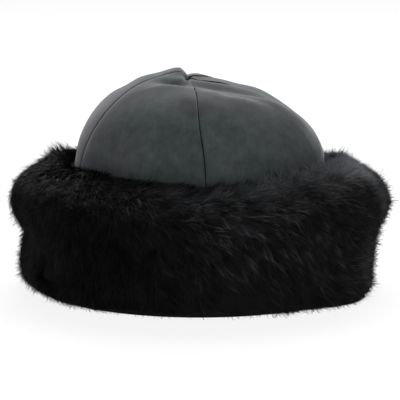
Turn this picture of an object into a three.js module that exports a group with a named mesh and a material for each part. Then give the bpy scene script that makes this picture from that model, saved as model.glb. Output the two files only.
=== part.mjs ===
// A winter hat: a domed crown sewn from four suede gores, in a deep cuff of black fur.
// Millimetres, +Z up. The hat rests on z = 0 and its front faces -Y; azimuths run from +X towards +Y.
import * as THREE from "three";

// The head opening: inside the crown, side to side and front to back, for a head of 58 cm.
const HEAD_WIDTH = 180;
const HEAD_DEPTH = 190;
const SUEDE = 2; // the wall of a gore, suede and its facing
const GAP = 0.3; // between pieces that touch

// The crown's heights above the surface that the hat rests on.
const RIM = 3; // lower edge of the gores
const WALL_TOP = 88; // where the upright wall turns into the dome
const WALL_SHARE = 0.22; // share of a gore's length, in steps, that is upright wall
const APEX = { x: -9, y: 1, rise: 66 }; // where the four seams meet, and its rise above WALL_TOP
const APEX_TIP = 0.016; // plan radius of the small hole where the gores meet, as a share of the crown's
const APEX_REACH = 0.45; // plan share within which the four sides' rises settle to the apex's
const GORE_TOP = 0.995; // share of the way to the apex where a gore's tip ends

// The dome's sides: its rise above WALL_TOP, and its fullness, where 2 is an ellipse and more is squarer.
const SIDES = [
  { azimuth: 0, rise: 62, fullness: 1.92 },
  { azimuth: 90, rise: 63, fullness: 2.1 },
  { azimuth: 180, rise: 69.5, fullness: 1.98 },
  { azimuth: 225, rise: 65, fullness: 2.45 },
  { azimuth: 270, rise: 63, fullness: 2.6 },
  { azimuth: 320, rise: 63, fullness: 2.5 },
];

// The four seams, each with the gore that starts at it and runs to the next: the seam's azimuth at the
// rim and at the apex, how far it bows out of the straight between them, and how far it hooks round
// beside the apex, in degrees.
const SEAMS = [
  { gore: "gore_front_left", base: 199, top: 193, bow: 11, hook: -16 },
  { gore: "gore_front_right", base: 272.7, top: 275, bow: -2.7, hook: 0 },
  { gore: "gore_back_right", base: 368, top: 340, bow: 10, hook: -44 },
  { gore: "gore_back_left", base: 452, top: 408, bow: 6, hook: -40 },
];
const HOOK_FROM = 0.8; // share of the way up where the hooks begin

// Soft folds and dents in plan: a centre, a turn in degrees, the reach to each side, and the lift.
const FOLDS = [
  { name: "pucker at the apex", x: -9, y: 0, turn: 0, left: 3.4, right: 3.2, front: 9, back: 4, lift: -6 },
  { name: "puff by apex", x: -15.2, y: 9, turn: 6, left: 12.5, right: 5, front: 7.5, back: 14, lift: 5.2 },
  { name: "smaller puff", x: -3, y: 13, turn: 0, left: 4, right: 12, front: 9, back: 12, lift: 1.2 },
  { name: "valley", x: -17, y: -15, turn: 0, left: 13, right: 11, front: 8, back: 7, lift: -3.8 },
  { name: "ridge", x: -20, y: -29, turn: 0, left: 16, right: 12, front: 8, back: 2.8, lift: 1.5 },
  { name: "ridge going on", x: 9, y: -43, turn: -30, left: 13, right: 10, front: 8, back: 2.6, lift: 1.5 },
  { name: "ridge's far end", x: 31, y: -46, turn: 10, left: 16, right: 16, front: 8, back: 2.6, lift: 1.8 },
  { name: "valley going on", x: 8, y: -31, turn: -22, left: 14, right: 14, front: 6, back: 9, lift: -2.8 },
  { name: "valley's far end", x: 33, y: -33, turn: 16, left: 18, right: 18, front: 7, back: 12, lift: -3.2 },
  { name: "side crease", x: 72, y: -34, turn: 16, left: 24, right: 24, front: 7, back: 7, lift: 1.2 },
  { name: "front hollow", x: 62, y: -56, turn: -38, left: 24, right: 24, front: 12, back: 12, lift: -1.2 },
  { name: "right shoulder", x: 44, y: 4, turn: 0, left: 10, right: 12, front: 22, back: 22, lift: 1.4 },
  { name: "dip beside it", x: 29, y: 6, turn: 0, left: 8, right: 8, front: 22, back: 22, lift: -1.4 },
  { name: "dent on the left", x: -54, y: 8, turn: 0, left: 7, right: 7, front: 16, back: 16, lift: -1.8 },
  { name: "dip at the back", x: 12, y: 40, turn: 20, left: 24, right: 24, front: 12, back: 12, lift: -1.8 },
];

// Folds that stand out of the dome's side, or in where out is under 0: an azimuth and a height, how far
// it leans in degrees for each mm up, the reach in degrees to each side and in mm up and down, and how
// it falls off to the sides, where 2 is soft and 1 is a crease.
const SIDE_FOLDS = [
  { name: "crease on the right", azimuth: 345, up: 112, lean: 0.3, wide: 7, tall: 24, falloff: 1, out: 2.6 },
  { name: "hollow before it", azimuth: 328, up: 108, lean: 0, wide: 9, tall: 22, falloff: 2, out: -1.2 },
  { name: "fuller right side", azimuth: 356, up: 121, lean: 0, wide: 22, tall: 13, falloff: 2, out: 0.8 },
  { name: "flatter left side", azimuth: 188, up: 112, lean: 0, wide: 24, tall: 22, falloff: 2, out: -2 },
];
const CREASE_EDGE = 0.1; // rounds a crease's edge, as a share of its reach

const PUFF = 2.2; // how far the middle of a gore stands out beyond its seams
const PUFF_FROM = 10; // height above WALL_TOP over which folds and seams settle in; the puff takes twice it
const PUFF_PLAN = 0.5; // plan share within which the puff dies away towards the apex
const PUFF_ROUND = 0.7; // under 1 the puff rises steeply beside the seams
const SEAM_DROP = 0.9; // how far a gore's edge rolls down into the seam
const GORE_COLUMNS = [0, 0.02, 0.08, 0.2, 0.35, 0.5, 0.65, 0.8, 0.92, 0.98, 1]; // shares of a gore's width
const WALL_ROWS = 3;
const DOME_ROWS = 20;
const ROWS_CLOSE_UP = 1.3; // over 1 the rows lie closer together towards the apex, where the folds are

// The cuff's section round the hat: how far its upper lobe, neck and lower lobe stand out from the
// crown's wall, how high its crest is, and where the lower lobe turns under, as a share of the skirt.
// These are the hair's tips; the solid body lies PILE below them.
const CUFF_SIDES = [
  { azimuth: 0, shoulder: 49.5, neck: 39.5, skirt: 37.5, crest: 94.5, heel: 0.96 },
  { azimuth: 45, shoulder: 48, neck: 40, skirt: 38, crest: 87, heel: 0.94 },
  { azimuth: 90, shoulder: 46, neck: 39, skirt: 39, crest: 92, heel: 0.92 },
  { azimuth: 135, shoulder: 47, neck: 38, skirt: 40, crest: 92.5, heel: 0.92 },
  { azimuth: 180, shoulder: 48.5, neck: 38.5, skirt: 42, crest: 95.5, heel: 0.9 },
  { azimuth: 206, shoulder: 47, neck: 40, skirt: 43, crest: 96, heel: 0.85 },
  { azimuth: 226, shoulder: 46, neck: 41, skirt: 44, crest: 96, heel: 0.97 },
  { azimuth: 248, shoulder: 45.5, neck: 41, skirt: 42, crest: 93.5, heel: 0.93 },
  { azimuth: 270, shoulder: 45, neck: 41, skirt: 42, crest: 91, heel: 0.95 },
  { azimuth: 300, shoulder: 46, neck: 41.5, skirt: 44.5, crest: 93, heel: 1.04 },
  { azimuth: 318, shoulder: 47, neck: 42, skirt: 46.5, crest: 95.5, heel: 1.12 },
  { azimuth: 343, shoulder: 48.5, neck: 40.5, skirt: 39.5, crest: 96, heel: 0.98 },
];
const PILE = 4; // depth of the tufted outer layer
const INNER_TOP = 84; // where the cuff leaves the crown's wall
const CREST_OUT = 11;
const CREST_EDGE = { share: 0.62, down: 7 }; // share of the shoulder, and how far below the crest
const SHOULDER_TOP = { share: 0.9, down: 18, sunk: 0.7 }; // there the body lies askew below the tips
const SHOULDER_UP = 61;
const NECK_UP = 33;
const SKIRT_UP = 15;
const HEEL_UP = 2.4;
const SOLE_OUT = 29; // the flat that the hat rests on runs from SOLE_IN to here
const SOLE_IN = 5;
const LOWEST_TIP = 0.8; // the locks stay above what the hat rests on

// Rows of fur locks from the crown's edge over the crest and down to the sole: the share of the
// section where a row's roots are, and how far its hair leans from straight down to the right, in mm.
const LOCK_ROWS = [
  { share: 0.05, lean: 15 },
  { share: 0.18, lean: 14 },
  { share: 0.32, lean: 13 },
  { share: 0.46, lean: 12 },
  { share: 0.6, lean: 12 },
  { share: 0.74, lean: 11 },
  { share: 0.86, lean: 8 },
];
const LOCKS_ROUND = 36; // locks in a row
// Across a lock, from the valley on its left: how far it reaches, in rows, and how proud it stands.
const LOCK_COLUMNS = [
  { reach: 0.7, proud: 0.1 },
  { reach: 1.05, proud: 0.7 },
  { reach: 1.4, proud: 1 },
  { reach: 1.05, proud: 0.75 },
];
const LOCK_MIDDLE = 0.5; // where along its length a lock is already as proud as its tip
const ROOT_SUNK = 0.6;
const LAST_SHARE = 0.965; // no tip reaches further round the heel than this
const UNEVEN = { reach: 0.16, proud: 0.3, lean: 0.25 }; // from lock to lock, as shares
const LOCK_SEED = 7;

const radians = THREE.MathUtils.degToRad;
const smooth = (low, high, value) => THREE.MathUtils.smoothstep(value, low, high);

// Repeatable numbers from 0 to 1.
function randomFrom(seed) {
  let state = seed;
  return () => {
    state = (state * 1664525 + 1013904223) % 4294967296;
    return state / 4294967296;
  };
}

// A value of a table whose rows stand at azimuths, blended smoothly round the hat.
function roundTable(rows, azimuth, key) {
  const turn = THREE.MathUtils.euclideanModulo(azimuth, 360);
  const next = rows.findIndex((row) => row.azimuth > turn);
  const after = rows[next === -1 ? 0 : next];
  const before = rows[(next === -1 ? rows.length : next) - 1];
  const span = THREE.MathUtils.euclideanModulo(after.azimuth - before.azimuth, 360);
  const share = (turn - before.azimuth) / span;
  return THREE.MathUtils.lerp(before[key], after[key], smooth(0, 1, share));
}

// One closed skin through loops that each have the same, even number of points. In a ring the last
// loop joins the first; otherwise both ends are capped, each point to the one across from it.
function loft(loops, isRing = false) {
  const size = loops[0].length;
  const faces = [];
  const addQuad = (a, b, c, d) => faces.push(a, b, c, a, c, d);
  const bands = isRing ? loops.length : loops.length - 1;
  for (let band = 0; band < bands; band++) {
    const [here, there] = [band * size, ((band + 1) % loops.length) * size];
    for (let k = 0; k < size; k++) {
      const next = (k + 1) % size;
      addQuad(here + k, here + next, there + next, there + k);
    }
  }
  const last = (loops.length - 1) * size;
  for (let k = 0; !isRing && k < size / 2 - 1; k++) {
    const across = size - 1 - k;
    addQuad(k, across, across - 1, k + 1);
    addQuad(last + k + 1, last + across - 1, last + across, last + k);
  }
  return new THREE.BufferGeometry().setFromPoints(loops.flat()).setIndex(faces);
}

// The height that the folds add at a place in plan.
function foldLift(x, y) {
  return FOLDS.reduce((total, fold) => {
    const turn = radians(fold.turn);
    const along = (x - fold.x) * Math.cos(turn) + (y - fold.y) * Math.sin(turn);
    const across = (y - fold.y) * Math.cos(turn) - (x - fold.x) * Math.sin(turn);
    const long = along < 0 ? fold.left : fold.right;
    const wide = across < 0 ? fold.front : fold.back;
    return total + fold.lift * Math.exp(-((along / long) ** 2) - (across / wide) ** 2);
  }, 0);
}

// How far the side folds push a place outwards.
function sideFoldOut(azimuth, up) {
  return SIDE_FOLDS.reduce((total, fold) => {
    const turn = azimuth - fold.azimuth - fold.lean * (up - fold.up);
    const across = (THREE.MathUtils.euclideanModulo(turn + 180, 360) - 180) / fold.wide;
    const along = (up - fold.up) / fold.tall;
    const away = (across ** 2 + CREASE_EDGE ** 2) ** (fold.falloff / 2);
    return total + fold.out * Math.exp(-away - along ** 2);
  }, 0);
}

// The crown's plan radius and height at a share of the way from the rim, 0, to the apex, 1.
function domeProfile(azimuth, way) {
  if (way < WALL_SHARE) {
    return { plan: 1, up: THREE.MathUtils.lerp(RIM, WALL_TOP, way / WALL_SHARE) };
  }
  const turn = radians(90) * ((way - WALL_SHARE) / (1 - WALL_SHARE));
  const power = 2 / roundTable(SIDES, azimuth, "fullness");
  const plan = Math.max(Math.cos(turn), 0) ** power;
  const sideRise = roundTable(SIDES, azimuth, "rise");
  const rise = THREE.MathUtils.lerp(APEX.rise, sideRise, smooth(0, APEX_REACH, plan));
  return { plan, up: WALL_TOP + rise * Math.sin(turn) ** power };
}

// A place on the crown's outer face, with its folds, before the gores puff out between the seams.
function crownPlace(azimuth, way) {
  const { plan, up } = domeProfile(azimuth, way);
  const spread = Math.max(plan, APEX_TIP);
  const turn = radians(azimuth);
  const settled = smooth(0, PUFF_FROM, up - WALL_TOP);
  const push = settled * sideFoldOut(azimuth, up);
  const x = APEX.x * (1 - spread) + (spread * (HEAD_WIDTH / 2 + SUEDE) + push) * Math.cos(turn);
  const y = APEX.y * (1 - spread) + (spread * (HEAD_DEPTH / 2 + SUEDE) + push) * Math.sin(turn);
  return new THREE.Vector3(x, y, up + settled * foldLift(x, y));
}

// The crown's outward direction, from places close by.
function crownNormal(azimuth, way) {
  const [turnStep, wayStep, highest] = [1, 0.004, 0.985];
  const round = crownPlace(azimuth + turnStep, way).sub(crownPlace(azimuth - turnStep, way));
  const lower = crownPlace(azimuth, Math.max(way - wayStep, 0));
  const upper = crownPlace(azimuth, Math.min(way + wayStep, highest));
  return round.cross(upper.sub(lower)).normalize();
}

// A seam's azimuth at a share of the way up; it sweeps and bows over the dome and hooks at its end.
function seamAzimuth(seam, way) {
  const share = smooth(WALL_SHARE, 1, way);
  const bowed = THREE.MathUtils.lerp(seam.base, seam.top, share) + seam.bow * 4 * share * (1 - share);
  return bowed + seam.hook * smooth(HOOK_FROM, 1, way);
}

// One gore between two seams: loops of its outer face and back along its inner one, from rim to apex.
function gore(left, right) {
  const loops = [];
  const rows = WALL_ROWS + DOME_ROWS;
  for (let row = 0; row <= rows; row++) {
    const onWall = row <= WALL_ROWS;
    const domeShare = 1 - Math.max(1 - (row - WALL_ROWS) / DOME_ROWS, 0) ** ROWS_CLOSE_UP;
    const way = onWall
      ? (WALL_SHARE * row) / WALL_ROWS
      : THREE.MathUtils.lerp(WALL_SHARE, GORE_TOP, domeShare);
    const [from, to] = [seamAzimuth(left, way), seamAzimuth(right, way)];
    const { plan, up } = domeProfile((from + to) / 2, way);
    const radius = Math.max(plan, APEX_TIP) * (HEAD_WIDTH / 2 + SUEDE);
    const seamGap = THREE.MathUtils.radToDeg(GAP / 2 / radius);
    const build = smooth(0, 2 * PUFF_FROM, up - WALL_TOP) * smooth(0, PUFF_PLAN, plan);
    const drop = SEAM_DROP * smooth(0, PUFF_FROM, up - WALL_TOP);
    const [outer, inner] = [[], []];
    for (const share of GORE_COLUMNS) {
      const azimuth = THREE.MathUtils.lerp(from + seamGap, to - seamGap, share);
      const normal = crownNormal(azimuth, way);
      const place = crownPlace(azimuth, way);
      const isEdge = share === 0 || share === 1;
      const crown = Math.max(Math.sin(Math.PI * share), 0) ** PUFF_ROUND;
      const stand = PUFF * build * crown - (isEdge ? drop : 0);
      outer.push(place.clone().addScaledVector(normal, stand));
      inner.unshift(place.clone().addScaledVector(normal, stand - SUEDE));
    }
    loops.push([...outer, ...inner]);
  }
  return loft(loops);
}

// The hairy side of the cuff's section at an azimuth, from the crown over the crest down to the sole,
// sunk by a depth below the hair's tips: a curve in x = out from the crown's wall and y = up.
function cuffCurve(azimuth, sunk) {
  const [shoulder, neck, skirt, crest, heel] = ["shoulder", "neck", "skirt", "crest", "heel"].map((key) =>
    roundTable(CUFF_SIDES, azimuth, key),
  );
  const askew = sunk * SHOULDER_TOP.sunk;
  const points = [
    [GAP, INNER_TOP],
    [CREST_OUT, crest - sunk],
    [shoulder * CREST_EDGE.share, crest - CREST_EDGE.down - sunk],
    [shoulder * SHOULDER_TOP.share - askew, crest - SHOULDER_TOP.down - askew],
    [shoulder - sunk, SHOULDER_UP],
    [neck - sunk, NECK_UP],
    [skirt - sunk, SKIRT_UP],
    [skirt * heel - sunk, HEEL_UP],
    [SOLE_OUT, 0],
  ];
  return new THREE.CatmullRomCurve3(
    points.map(([out, up]) => new THREE.Vector3(out, up, 0)),
    false,
    "centripetal",
  );
}

// A place at a distance out from the crown's wall, along the level normal of its oval.
function besideCrown(azimuth, out, up) {
  const turn = radians(azimuth);
  const [halfWidth, halfDepth] = [HEAD_WIDTH / 2 + SUEDE, HEAD_DEPTH / 2 + SUEDE];
  const normal = new THREE.Vector2(Math.cos(turn) / halfWidth, Math.sin(turn) / halfDepth);
  normal.normalize();
  const x = halfWidth * Math.cos(turn) + out * normal.x;
  const y = halfDepth * Math.sin(turn) + out * normal.y;
  return new THREE.Vector3(x, y, up);
}

// A place on the cuff's hairy side, at a share of its section and raised above the body.
function onCuff(azimuth, share, raised) {
  const curve = cuffCurve(azimuth, PILE);
  const place = curve.getPointAt(share);
  const along = curve.getTangentAt(share);
  const out = Math.max(place.x - along.y * raised, GAP);
  const up = Math.max(place.y + along.x * raised, LOWEST_TIP);
  return besideCrown(azimuth, out, up);
}

// One lock's own length, height and lean, as shares of its row's.
function unevenLock(random) {
  const vary = (amount) => 1 + amount * (2 * random() - 1);
  return { reach: vary(UNEVEN.reach), proud: vary(UNEVEN.proud), lean: vary(UNEVEN.lean) };
}

// The whole cuff as one closed skin: a dense body on its pelt, with every row of locks fused to it.
// A loop follows the section at one azimuth: for each row its root, middle and free tip, then the
// flat sole and the wall against the crown.
function cuff() {
  const random = randomFrom(LOCK_SEED);
  const locks = LOCK_ROWS.map(() => Array.from({ length: LOCKS_ROUND }, () => unevenLock(random)));
  const radius = (HEAD_WIDTH + HEAD_DEPTH) / 4 + CUFF_SIDES[0].neck;
  const loops = [];
  for (let step = 0; step < LOCKS_ROUND * LOCK_COLUMNS.length; step++) {
    const azimuth = (360 * step) / (LOCKS_ROUND * LOCK_COLUMNS.length);
    const loop = [besideCrown(azimuth, GAP, INNER_TOP)];
    LOCK_ROWS.forEach((row, index) => {
      const column = LOCK_COLUMNS[step % LOCK_COLUMNS.length];
      const own = locks[index][Math.floor(step / LOCK_COLUMNS.length)];
      const next = LOCK_ROWS[index + 1] ?? { share: 1 };
      const reach = (next.share - row.share) * column.reach * own.reach;
      const proud = PILE * column.proud * own.proud;
      const lean = THREE.MathUtils.radToDeg((row.lean * own.lean) / radius);
      loop.push(
        onCuff(azimuth, row.share, -ROOT_SUNK),
        onCuff(azimuth + lean * LOCK_MIDDLE, row.share + reach * LOCK_MIDDLE, proud),
        onCuff(azimuth + lean, Math.min(row.share + reach, LAST_SHARE), proud),
      );
    });
    for (const [out, up] of [[SOLE_OUT, 0], [SOLE_IN, 0], [GAP, RIM], [GAP, (RIM + INNER_TOP) / 2]]) {
      loop.push(besideCrown(azimuth, out, up));
    }
    loops.push(loop);
  }
  return loft(loops, true);
}

const suede = new THREE.MeshStandardMaterial({ color: 0x434847, roughness: 0.95, metalness: 0 });
const fur = new THREE.MeshStandardMaterial({ color: 0x0c0c0d, roughness: 0.8, metalness: 0 });

function named(name, geometry, material) {
  const mesh = new THREE.Mesh(geometry, material.clone());
  mesh.name = name;
  return mesh;
}

const hat = new THREE.Group();
SEAMS.forEach((seam, index) => {
  const following = SEAMS[(index + 1) % SEAMS.length];
  const fullTurn = index + 1 === SEAMS.length ? 360 : 0;
  const right = { ...following, base: following.base + fullTurn, top: following.top + fullTurn };
  hat.add(named(seam.gore, gore(seam, right), suede));
});
hat.add(named("fur_cuff", cuff(), fur));

export default hat;
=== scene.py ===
import math
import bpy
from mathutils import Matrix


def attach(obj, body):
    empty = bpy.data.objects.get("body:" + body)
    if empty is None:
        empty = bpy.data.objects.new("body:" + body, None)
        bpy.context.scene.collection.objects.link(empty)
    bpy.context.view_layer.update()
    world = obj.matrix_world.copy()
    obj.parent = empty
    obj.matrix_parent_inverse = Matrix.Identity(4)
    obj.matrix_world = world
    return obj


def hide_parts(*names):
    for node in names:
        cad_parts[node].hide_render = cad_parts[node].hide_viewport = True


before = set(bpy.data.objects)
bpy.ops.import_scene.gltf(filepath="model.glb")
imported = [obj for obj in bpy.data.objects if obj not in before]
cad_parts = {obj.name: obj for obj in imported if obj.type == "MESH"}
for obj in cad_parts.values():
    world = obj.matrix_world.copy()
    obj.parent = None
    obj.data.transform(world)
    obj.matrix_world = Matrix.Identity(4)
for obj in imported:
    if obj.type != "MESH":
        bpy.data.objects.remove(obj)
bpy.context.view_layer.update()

from types import SimpleNamespace

import bpy
import numpy as np
from mathutils import Vector

MM = 0.001
TAU = 2 * math.pi

# The hat in millimetres, as its solids but for the fine folds beside the apex. Azimuths run in degrees
# from +X towards +Y, and a way runs up the crown from the rim, 0, to the apex, 1.
HEAD_WIDTH = 180
HEAD_DEPTH = 190
SUEDE = 2
GAP = 0.3  # between the fur and the crown
RIM = 3
WALL_TOP = 88
WALL_SHARE = 0.22  # the way at which the dome begins
APEX = {"x": -9, "y": 1, "rise": 66}
APEX_TIP = 0.0008  # the share of its width that it keeps there
APEX_REACH = 0.45  # the share of the width where the sides' rises blend
GORE_TOP = 0.9998  # the way at which the gores end
HALF_WIDTH = HEAD_WIDTH / 2 + SUEDE
HALF_DEPTH = HEAD_DEPTH / 2 + SUEDE

# The dome's sides: azimuth, rise above WALL_TOP, fullness.
SIDES = [
    (0, 62, 1.92),
    (90, 63, 2.1),
    (180, 69.5, 1.98),
    (225, 65, 2.45),
    (270, 63, 2.6),
    (320, 63, 2.5),
]

# The seams: the gore that starts there, its azimuth at the rim and at the apex, its bow, and its hook
# beside the apex.
SEAMS = [
    ("gore_front_left", 199, 193, 11, -16),
    ("gore_front_right", 272.7, 275, -2.7, 0),
    ("gore_back_right", 368, 340, 10, -44),
    ("gore_back_left", 452, 408, 6, -40),
]
HOOK_FROM = 0.8

# Soft folds and dents in plan: centre x and y, turn in degrees, reach to the left, right, front and
# back, and lift.
FOLDS = [
    (-9, -2, 0, 2.4, 2, 9, 4.5, -4.4),  # pucker at the apex
    (-8.8, 4, 0, 1.4, 1, 7, 22, -1),  # slit behind the apex, between the two puffs
    (-15, 9, 6, 12.5, 4.6, 10, 14, 5.2),  # puff behind and left of the apex
    (-3, 13, 0, 4, 12, 9, 12, 1.2),  # smaller puff on its right
    (-17, -20, 0, 13, 11, 11, 6.5, -5),  # valley in front of the apex
    (-20, -36, 0, 16, 13, 7, 2.6, 1.6),  # ridge in front of that valley
    (10, -47.5, -30, 13, 10, 7, 2.4, 1.2),  # the ridge, right of the front seam
    (31, -52, 10, 16, 16, 7, 2.4, 1.2),
    (8, -31, -22, 14, 14, 6, 9, -2.8),  # valley behind it
    (33, -33, 16, 18, 18, 7, 12, -3.2),
    (-1, -6, 0, 7, 10, 7, 7, -1.8),  # dip right of the apex
    (72, -34, 16, 24, 24, 7, 7, 1.2),  # crease down the right side
    (62, -56, -38, 24, 24, 12, 12, -1.2),  # hollow on the front right
    (44, 4, 0, 10, 12, 22, 22, 1.4),  # shoulder on the right
    (29, 6, 0, 8, 8, 22, 22, -1.4),  # dip beside that shoulder
    (-54, 8, 0, 7, 7, 16, 16, -1.8),  # small dent on the left
    (12, 40, 20, 24, 24, 12, 12, -1.8),  # dip at the back
]

# Folds in the dome's side: azimuth, height, lean in degrees a millimetre, reach in degrees and in
# height, sharpness, and out.
SIDE_FOLDS = [
    (345, 112, 0.3, 7, 24, 1, 1.6),  # crease down the right side of the dome
    (328, 108, 0, 9, 22, 2, -1.2),  # hollow in front of that crease
    (356, 121, 0, 22, 13, 2, 0.8),  # fuller shoulder on the right
    (188, 112, 0, 24, 22, 2, -2),  # flatter side on the left
]
FOLD_EDGE = 0.1  # keeps a sharp fold's line round

PUFF = 2.2  # how far a gore swells between its seams
PUFF_FROM = 10  # the height over which seams and folds build up
PUFF_PLAN = 0.5  # the share of the width where it fades to the apex
PUFF_ROUND = 0.7  # fuller for a lower number

# The cuff's section: azimuth, shoulder, neck and skirt out from the crown's wall, crest's height, and
# where the lower lobe turns under, as a share of the skirt.
CUFF_SIDES = [
    (0, 49.5, 39.5, 37.5, 94.5, 0.96),
    (45, 48, 40, 38, 87, 0.94),
    (90, 46, 39, 39, 92, 0.92),
    (135, 47, 38, 40, 92.5, 0.92),
    (180, 48.5, 38.5, 42, 95.5, 0.9),
    (206, 47, 40, 43, 96, 0.85),
    (226, 46, 41, 44, 96, 0.97),
    (248, 45.5, 41, 42, 93.5, 0.93),
    (270, 45, 41, 42, 91, 0.95),
    (300, 46, 41.5, 44.5, 93, 1.04),
    (318, 47, 42, 46.5, 95.5, 1.12),
    (343, 48.5, 40.5, 39.5, 96, 0.98),
]
INNER_TOP = 84  # where the fur meets the crown
CREST_OUT = 11
CREST_EDGE = (0.62, 7)  # share of the shoulder's reach, and below the crest
SHOULDER_TOP = (0.9, 18)
SHOULDER_UP = 61
NECK_UP = 33
SKIRT_UP = 15
HEEL_UP = 2.4
SOLE_OUT = 29
SOLE_IN = 5

# Large odd numbers that mix whole numbers into what looks like chance.
NOISE_MIX = (374761393, 668265263, 974634777, 1274126177)
CELL_MIX = (73856093, 19349663, 83492791, 2246822519, 3266489917)
WORD = 0xFFFFFFFF
SHORTEST = 1e-6  # so that nothing is divided by no length


def smooth(low, high, value):
    t = np.clip((np.asarray(value, float) - low) / (high - low), 0, 1)
    return t * t * (3 - 2 * t)


def mix(first, second, share):
    return first * (1 - share) + second * share


def unit(vectors):
    return vectors / np.maximum(np.linalg.norm(vectors, axis=-1, keepdims=True), SHORTEST)


def round_table(rows, azimuth, column):
    """A column of a table whose rows stand at azimuths, blended smoothly round the hat."""
    at = np.array([row[0] for row in rows] + [rows[0][0] + 360], float)
    values = np.array([row[column] for row in rows] + [rows[0][column]], float)
    turn = np.mod(azimuth, 360)
    before = np.clip(np.searchsorted(at, turn, side="right") - 1, 0, len(rows) - 1)
    share = smooth(0, 1, (turn - at[before]) / (at[before + 1] - at[before]))
    return values[before] + share * (values[before + 1] - values[before])


def near_turn(degrees):
    """The same turn as a number from -180 to 180."""
    return np.mod(degrees + 180, 360) - 180


def between(value, limits):
    return (value > limits[0]) & (value < limits[1])


def value_noise(x, y, seed, period=0):
    """Smooth noise from -1 to 1 on a grid of whole numbers, repeating in x after a period."""
    x0, y0 = np.floor(x).astype(int), np.floor(y).astype(int)
    fx, fy = smooth(0, 1, x - x0), smooth(0, 1, y - y0)

    def corner(i, j):
        i = np.mod(i, period) if period else i
        mixed = (i * NOISE_MIX[0] + j * NOISE_MIX[1] + seed * NOISE_MIX[2]) & WORD
        mixed = ((mixed ^ (mixed >> 13)) * NOISE_MIX[3]) & WORD
        return ((mixed ^ (mixed >> 16)) & 0xFFFF) / 32767.5 - 1

    low, high = (mix(corner(x0, row), corner(x0 + 1, row), fx) for row in (y0, y0 + 1))
    return mix(low, high, fy)


def cell_random(i, j, seed):
    """A repeatable number from 0 to 1 for each pair of whole numbers."""
    mixed = (i * CELL_MIX[0] + j * CELL_MIX[1] + seed * CELL_MIX[2]) & WORD
    mixed = ((mixed ^ (mixed >> 15)) * CELL_MIX[3]) & WORD
    mixed = ((mixed ^ (mixed >> 13)) * CELL_MIX[4]) & WORD
    return ((mixed ^ (mixed >> 16)) & 0xFFFFFF) / 0xFFFFFF


# The crown


def fold_lift(x, y):
    """How far the folds lift the crown's top."""
    total = np.zeros_like(x)
    for centre_x, centre_y, turn, left, right, front, back, lift in FOLDS:
        cosine, sine = math.cos(math.radians(turn)), math.sin(math.radians(turn))
        along = (x - centre_x) * cosine + (y - centre_y) * sine
        across = (y - centre_y) * cosine - (x - centre_x) * sine
        long, wide = np.where(along < 0, left, right), np.where(across < 0, front, back)
        total += lift * np.exp(-((along / long) ** 2) - (across / wide) ** 2)
    return total


def side_fold_out(azimuth, up):
    """How far the folds push the dome's side out."""
    total = np.zeros_like(up)
    for centre, height, lean, wide, tall, sharp, out in SIDE_FOLDS:
        across = near_turn(azimuth - centre - lean * (up - height)) / wide
        across = (across**2 + FOLD_EDGE**2) ** (sharp / 2)
        total += out * np.exp(-across - ((up - height) / tall) ** 2)
    return total


def dome_profile(azimuth, way):
    """The crown's plan radius as a share, and its height."""
    turn = np.clip((way - WALL_SHARE) / (1 - WALL_SHARE), 0, 1) * math.pi / 2
    power = 2 / round_table(SIDES, azimuth, 2)
    plan = np.maximum(np.cos(turn), 0) ** power
    side_rise = round_table(SIDES, azimuth, 1)
    rise = APEX["rise"] + (side_rise - APEX["rise"]) * smooth(0, APEX_REACH, plan)
    up = WALL_TOP + rise * np.sin(turn) ** power
    on_wall = way < WALL_SHARE
    up = np.where(on_wall, RIM + (WALL_TOP - RIM) * way / WALL_SHARE, up)
    return np.where(on_wall, 1.0, plan), up


def crown_place(azimuth, way):
    """Points of the crown's outside before the gores' own relief."""
    plan, up = dome_profile(azimuth, way)
    spread = np.maximum(plan, APEX_TIP)
    turn = np.radians(azimuth)
    settled = smooth(0, PUFF_FROM, up - WALL_TOP)
    push = settled * side_fold_out(azimuth, up)
    x = APEX["x"] * (1 - spread) + (spread * HALF_WIDTH + push) * np.cos(turn)
    y = APEX["y"] * (1 - spread) + (spread * HALF_DEPTH + push) * np.sin(turn)
    return np.stack([x, y, up + settled * fold_lift(x, y)], -1)


def crown_normal(azimuth, way):
    turn_step, way_step, highest = 1, 0.004, 0.985
    along = crown_place(azimuth + turn_step, way) - crown_place(azimuth - turn_step, way)
    upper = crown_place(azimuth, np.minimum(way + way_step, highest))
    lower = crown_place(azimuth, np.minimum(np.maximum(way - way_step, 0), highest - way_step))
    return unit(np.cross(along, upper - lower))


def seam_azimuth(seam, way):
    _, base, top, bow, hook = seam
    share = smooth(WALL_SHARE, 1, way)
    return base + (top - base) * share + bow * 4 * share * (1 - share) + hook * smooth(HOOK_FROM, 1, way)


GORE_ROWS = 76
GORE_COLUMNS = 76
WALL_ROWS = np.array([0, 0.5, 0.8])  # the rows on the wall, as shares of its height
EDGE_COLUMNS = np.array([0, 0.26, 0.7, 1.4, 2.8])  # distances from a seam, in mm
EDGE_SHARE = 0.3  # near the apex the edge columns take this share of the width at most
# Painted shade: the faces of these columns take the near-black crease material.
DARK_COLUMNS = 1  # the columns beside a seam that lie in its crease
SEAM_HALF_GAP = 0.015
SEAM_DEPTH = 2  # how deep the suede rolls in at a seam
SEAM_ROLL = 0.6  # and how far from the seam it does so

# Where the front seam hides behind the ridge, how much of its roll is gone and how full the gores stay.
SUNK_SEAM = {"azimuth": (255, 295), "way": (0.87, 1.02), "unrolled": 0.85, "puff": 0.25}

# Where the left seam gets shallower beside the apex, and how much of its roll goes.
FADING_SEAM = {"azimuth": (150, 225), "way": (0.9, 0.97), "unrolled": 0.6}

# Where the back gores lap over their first seams: azimuths, distance from the apex and the share of it
# with a full lap, its height and width, and how much of a lap is painted dark as shade, in how many
# columns.
LAP = {"azimuth": (290, 425), "reach": 52, "full": 0.6, "height": 0.3, "width": 2.5, "dark": 0.3,
       "columns": 3}


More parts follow.
